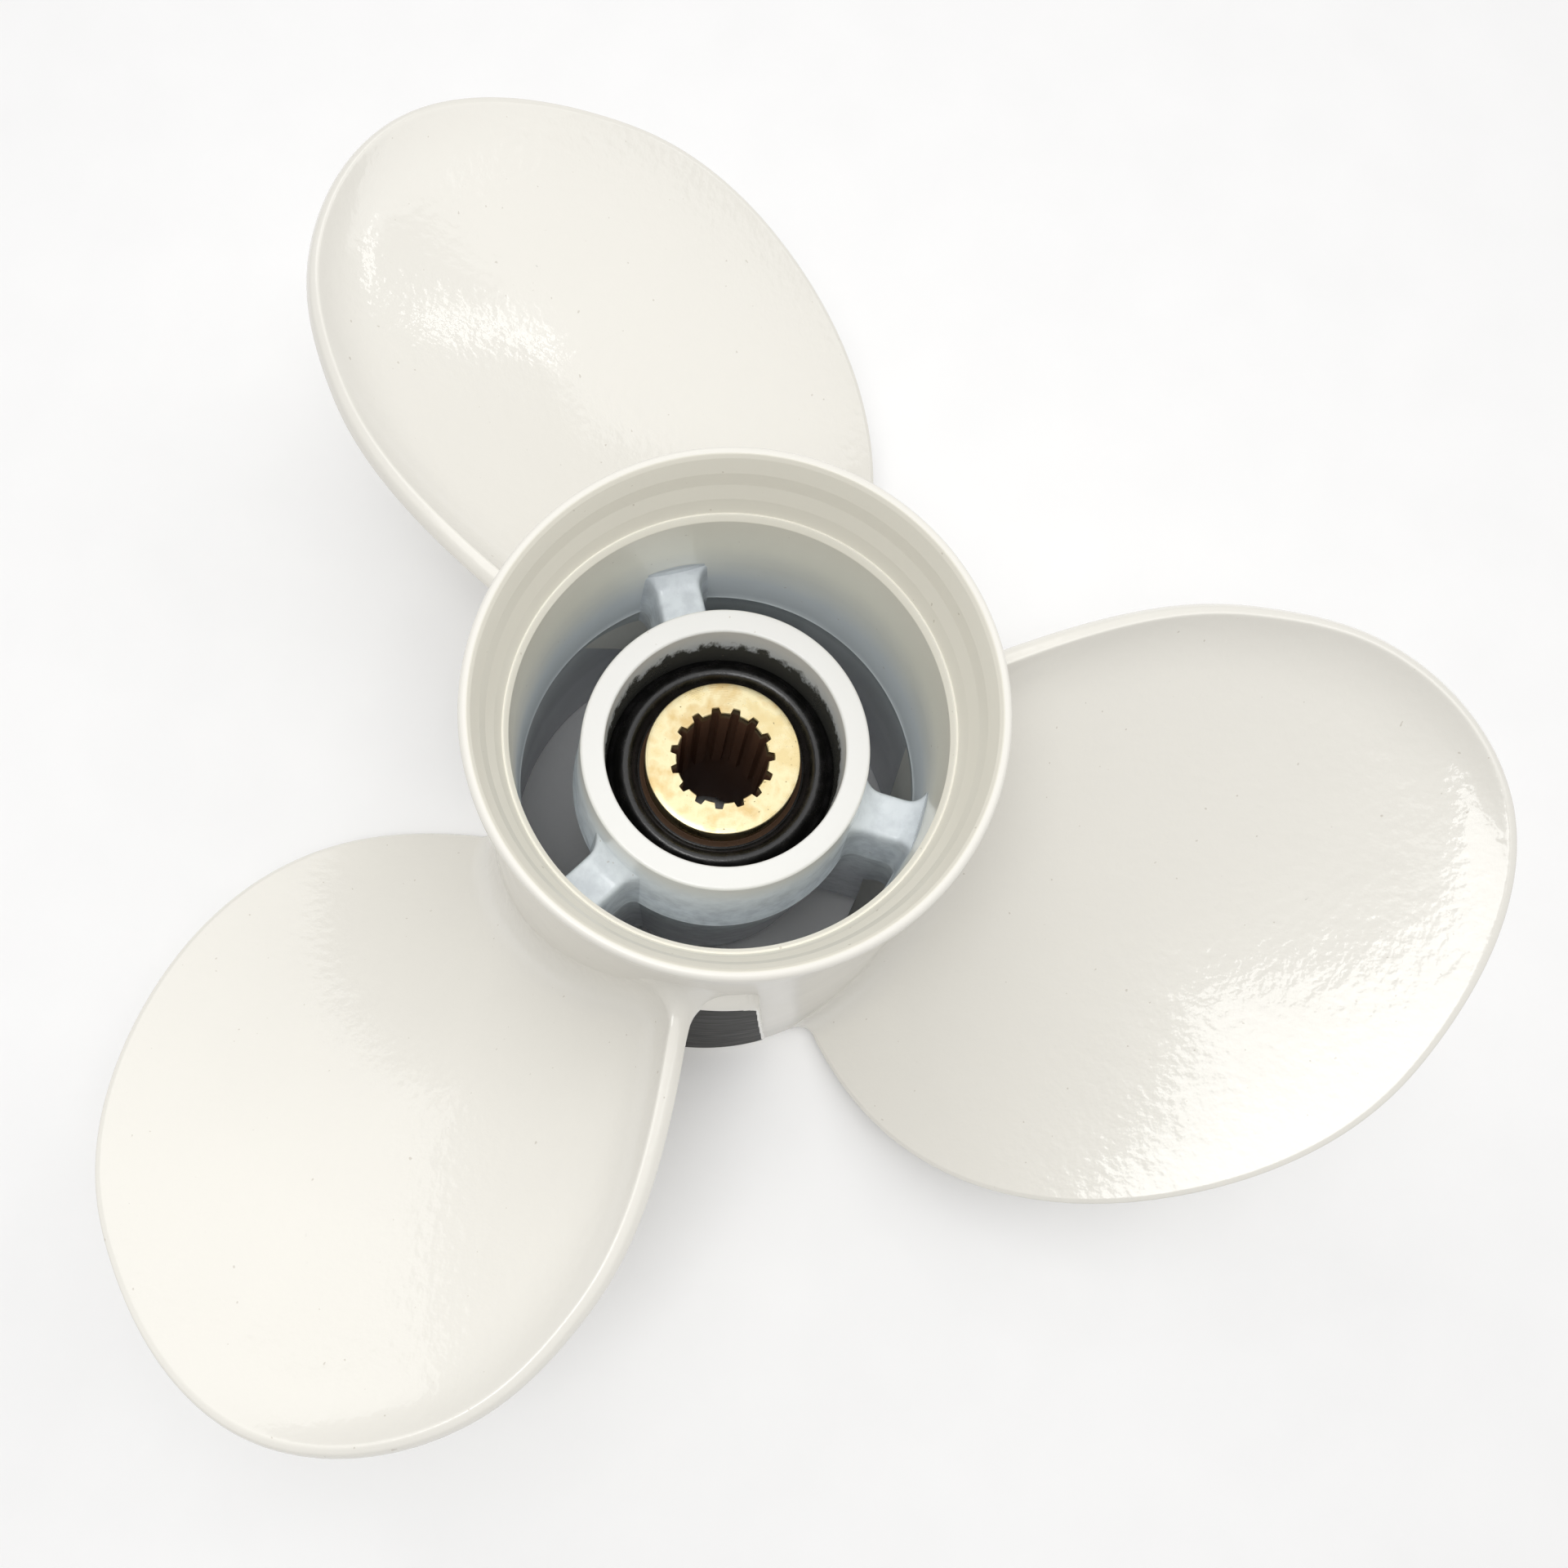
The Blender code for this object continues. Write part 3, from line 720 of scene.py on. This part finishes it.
def scraped_coat(shader, coat):
    """Blotches low on the inner hub, and dark scuffs where the bush was pressed into it."""
    top, bottom = CORE_AFT_Z - 0.0038, CORE_AFT_Z - 0.0153
    lower = shader.scale_to(shader.axis("Z"), top, bottom)
    blotches = shader.noise(240.0, detail=5.0, roughness=0.6, seed=8.0)
    blotched = shader.maths("MULTIPLY", lower, shader.ramp(blotches, (0.38, 0.40), (0.58, 0.0)))
    coat = shader.mix(blotched, coat, (0.40, 0.43, 0.48))
    scuffs = shader.noise(420.0, detail=6.0, roughness=0.65, stretch=(1, 1, 0.5), seed=7.0)
    worn = shader.maths("ADD", shader.maths("MULTIPLY", scuffs, 1.2), lower)
    in_bore = shader.maths("LESS_THAN", shader.from_shaft(), CORE_BORE_RADIUS + 0.0006)
    bare = shader.maths("MULTIPLY", shader.ramp(worn, (0.80, 0.0), (1.0, 1.0)), in_bore)
    return shader.mix(bare, coat, (0.09, 0.09, 0.08))


def make_paint(name, base, peel=1.0, coat_and_shade_stops=None, scraped=False):
    """Gloss enamel over a casting: orange peel, faint clouding, a few specks of dirt.

    peel scales the relief, and the inside stops list (height, colour) inside the hub: a thinner
    coat with painted shade and painted light."""
    shader = Shader(name)
    cloud = shader.noise(28.0, detail=4.0, seed=1.0)
    shade = tuple(0.99 * c for c in base)
    colour = shader.ramp(cloud, (0.35, shade), (0.65, base))
    if coat_and_shade_stops:
        colour = coat_and_painted_shade(shader, colour, coat_and_shade_stops)
    if scraped:
        colour = scraped_coat(shader, colour)
    specks = shader.noise(900.0, detail=0.0, seed=3.0)
    dirt = shader.ramp(specks, (0.825, 0.0), (0.85, 0.35))
    colour = shader.mix(dirt, colour, (0.36, 0.30, 0.22))
    shader.link(colour, shader.bsdf.inputs["Base Color"])
    gloss = shader.ramp(shader.noise(60.0, detail=3.0, seed=4.0), (0.3, 0.20), (0.7, 0.26))
    shader.link(gloss, shader.bsdf.inputs["Roughness"])
    shader.set(Coat_Weight=0.6 * peel, Coat_Roughness=0.05, Specular_IOR_Level=0.3)
    relief = 0.00008 * peel
    swell = shader.bump(shader.noise(95.0, detail=1.0, seed=5.0), relief)
    shader.bump(shader.noise(430.0, detail=2.0, seed=6.0), relief, below=swell)
    return shader.material


def make_pad_shade_face():
    """Brushed face of a stamping pad, darkened to near black as painted shade."""
    shader = Shader("pad_painted_shade")
    streaks = shader.noise(90.0, detail=6.0, stretch=(1.0, 1.0, 7.0), seed=11.0)
    # Near-black colour: painted shade on the pad's face; the streaks are brushing.
    colour = shader.ramp(streaks, (0.38, (0.004, 0.004, 0.004)), (0.72, (0.024, 0.024, 0.022)))
    shader.link(colour, shader.bsdf.inputs["Base Color"])
    shader.set(Specular_IOR_Level=0.12)
    shader.link(shader.ramp(streaks, (0.3, 0.42), (0.7, 0.62)), shader.bsdf.inputs["Roughness"])
    shader.bump(streaks, 0.00012)
    return shader.material


def make_rubber():
    """Moulded black rubber with a waxy bloom."""
    shader = Shader("moulded_rubber")
    bloom = shader.noise(260.0, detail=5.0, seed=21.0)
    colour = shader.ramp(bloom, (0.42, (0.003, 0.003, 0.003)), (0.78, (0.016, 0.015, 0.015)))
    # A brown ring on the rubber next to the sleeve.
    brown_rim = shader.maths("LESS_THAN", shader.from_shaft(), SLEEVE_RADIUS + 0.0011)
    colour = shader.mix(brown_rim, colour, (0.075, 0.042, 0.024))
    shader.link(colour, shader.bsdf.inputs["Base Color"])
    shader.link(shader.ramp(bloom, (0.3, 0.16), (0.7, 0.34)), shader.bsdf.inputs["Roughness"])
    shader.bump(shader.noise(900.0, detail=3.0, seed=22.0), 0.00006)
    return shader.material


def make_brass():
    """Turned brass: faint tool rings, tarnish patches and pits; inside the bore, painted shade
    makes it dark brown and less metallic deeper in.
    """
    shader = Shader("turned_brass")
    radius = shader.from_shaft()
    patches = shader.noise(130.0, detail=5.0, roughness=0.55, seed=31.0)
    clean = shader.ramp(patches, (0.38, (0.56, 0.46, 0.25)), (0.50, (0.64, 0.57, 0.36)),
                        (0.62, (0.55, 0.41, 0.20)))
    pits = shader.ramp(shader.noise(1500.0, detail=2.0, seed=32.0), (0.70, 0.0), (0.76, 1.0))
    spotted = shader.mix(pits, clean, (0.20, 0.12, 0.06))
    # Painted shade: the bore's wall turns dark brown and less metallic deeper below the aft
    # face.
    below = shader.scale_to(shader.axis("Z"), SLEEVE_AFT_Z - 0.0003, SLEEVE_AFT_Z - 0.0035)
    inside = shader.maths("LESS_THAN", radius, SPLINE_MAJOR_RADIUS + 0.0009)
    bore = shader.maths("MULTIPLY", below, inside, clamp=True)
    colour = shader.mix(bore, spotted, (0.17, 0.085, 0.05))
    shader.link(colour, shader.bsdf.inputs["Base Color"])
    turned_face = shader.ramp(patches, (0.35, 0.22), (0.70, 0.42))
    shader.link(shader.maths("MAXIMUM", turned_face, shader.maths("MULTIPLY", bore, 0.6)),
                shader.bsdf.inputs["Roughness"])
    shader.link(shader.maths("SUBTRACT", 1.0, shader.maths("MULTIPLY", bore, 0.7)),
                shader.bsdf.inputs["Metallic"])
    rings = shader.node("TexWave", wave_type="RINGS", rings_direction="Z")
    rings.inputs["Scale"].default_value = 900.0
    rings.inputs["Distortion"].default_value = 1.0
    shader.link(shader.where, rings.inputs["Vector"])
    tooled = shader.bump(rings.outputs["Fac"], 0.00001)
    shader.bump(pits, -0.00006, below=tooled)
    return shader.material


def make_floor():
    shader = Shader("pale_floor")
    grain = shader.ramp(shader.noise(40.0, detail=4.0, seed=41.0),
                        (0.3, (0.94, 0.94, 0.94)), (0.7, (0.96, 0.96, 0.96)))
    shader.link(grain, shader.bsdf.inputs["Base Color"])
    shader.set(Roughness=0.8)
    return shader.material


# Stage ----------------------------------------------------------------------------------------

def add_floor(material):
    mesh = bpy.data.meshes.new("floor")
    half_side, below = 4.0, 0.0002
    corners = [(x * half_side, y * half_side, -below)
               for x, y in ((-1, -1), (1, -1), (1, 1), (-1, 1))]
    mesh.from_pydata(corners, [], [(0, 1, 2, 3)])
    mesh.materials.append(material)
    floor = bpy.data.objects.new("floor", mesh)
    bpy.context.scene.collection.objects.link(floor)


def add_area(name, place, size, power):
    """A rectangular lamp that faces the propeller's middle."""
    light = bpy.data.lights.new(name, "AREA")
    light.shape = "RECTANGLE"
    light.size, light.size_y = size
    light.energy = power
    lamp = bpy.data.objects.new(name, light)
    lamp.location = place
    aim = Vector((0.0, 0.0, 0.05)) - Vector(place)
    lamp.rotation_euler = aim.to_track_quat("-Z", "Y").to_euler()
    bpy.context.scene.collection.objects.link(lamp)


def add_lights():
    add_area("window", (0.62, 0.92, 0.92), (0.25, 0.06), 0.25)
    add_area("side", (0.95, 0.55, 1.05), (0.9, 0.7), 2.8)
    add_area("softbox", (-0.62, 1.00, 0.95), (1.1, 0.6), 3.2)
    add_area("top", (0.0, 0.15, 1.4), (1.4, 1.3), 7.9)
    add_area("frontal", (-0.08, -0.16, 0.65), (0.25, 0.25), 1.0)
    world = bpy.data.worlds.new("studio")
    world.use_nodes = True
    background = world.node_tree.nodes["Background"]
    background.inputs["Color"].default_value = (1.0, 0.99, 0.98, 1.0)
    background.inputs["Strength"].default_value = 0.37
    bpy.context.scene.world = world
    bpy.context.scene.view_settings.view_transform = "Standard"


def add_camera():
    """Nearly straight down on the hub, from slightly off the blade_1 side."""
    data = bpy.data.cameras.new("camera")
    data.sensor_width = 36.0
    data.lens = 26.32
    data.shift_x = 0.0895
    data.shift_y = 0.1102
    data.clip_start = 0.01
    camera = bpy.data.objects.new("camera", data)
    camera.location = (-0.00399, -0.07646, 0.3209)
    camera.rotation_euler = (radians(7.409), radians(-0.176), radians(10.458))
    bpy.context.scene.collection.objects.link(camera)
    bpy.context.scene.camera = camera


# Whole scene ----------------------------------------------------------------------------------

def make_paints():
    """The casting's paint outside, in the barrel, and on the inner hub and ribs; inside the hub
    it carries painted shade and painted light.
    """
    white = (0.83, 0.81, 0.75)
    # Inside the barrel: a thinner coat over grey primer, with painted shade in the darker bluish
    # bands and painted light in the pale bands.
    barrel_coat_and_shade_stops = [(0.035, (0.58, 0.61, 0.65)), (0.057, (0.90, 0.94, 0.95)),
                    (0.063, (0.55, 0.59, 0.61)), (0.071, (0.69, 0.73, 0.75)),
                    (0.081, (0.94, 0.94, 0.87)), (0.088, (0.95, 0.94, 0.84)),
                    (0.103, (0.835, 0.81, 0.72))]
    # Inner hub and ribs: a thinner coat, with a painted bluish reflection, painted light in the
    # pale bands, and painted shade in the end face's darker last stop.
    core_coat_and_shade_stops = [(0.040, (0.74, 0.78, 0.84)), (0.060, (0.89, 0.95, 0.98)),
                  (0.068, (0.82, 0.88, 0.93)), (0.0735, (0.73, 0.78, 0.82)),
                  (0.079, (0.82, 0.87, 0.91)), (0.087, (0.77, 0.77, 0.75))]
    return (make_paint("gloss_paint", white),
            make_paint("barrel_paint_and_shade", white, peel=0.15, coat_and_shade_stops=barrel_coat_and_shade_stops),
            make_paint("core_paint_and_shade", white, peel=0.5, coat_and_shade_stops=core_coat_and_shade_stops, scraped=True))


def main():
    outside_paint, barrel_paint_and_shade, core_paint_and_shade = make_paints()
    planform = Planform()
    make_barrel(barrel_paint_and_shade)
    make_core(core_paint_and_shade)
    pad_painted_shade = make_pad_shade_face()
    for number in range(1, BLADE_COUNT + 1):
        make_rib(number, core_paint_and_shade)
        make_pad(number, outside_paint, pad_painted_shade)
        make_blade(number, outside_paint, planform)
    make_bush(make_rubber())
    make_sleeve(make_brass())
    add_floor(make_floor())
    add_lights()
    add_camera()


main()
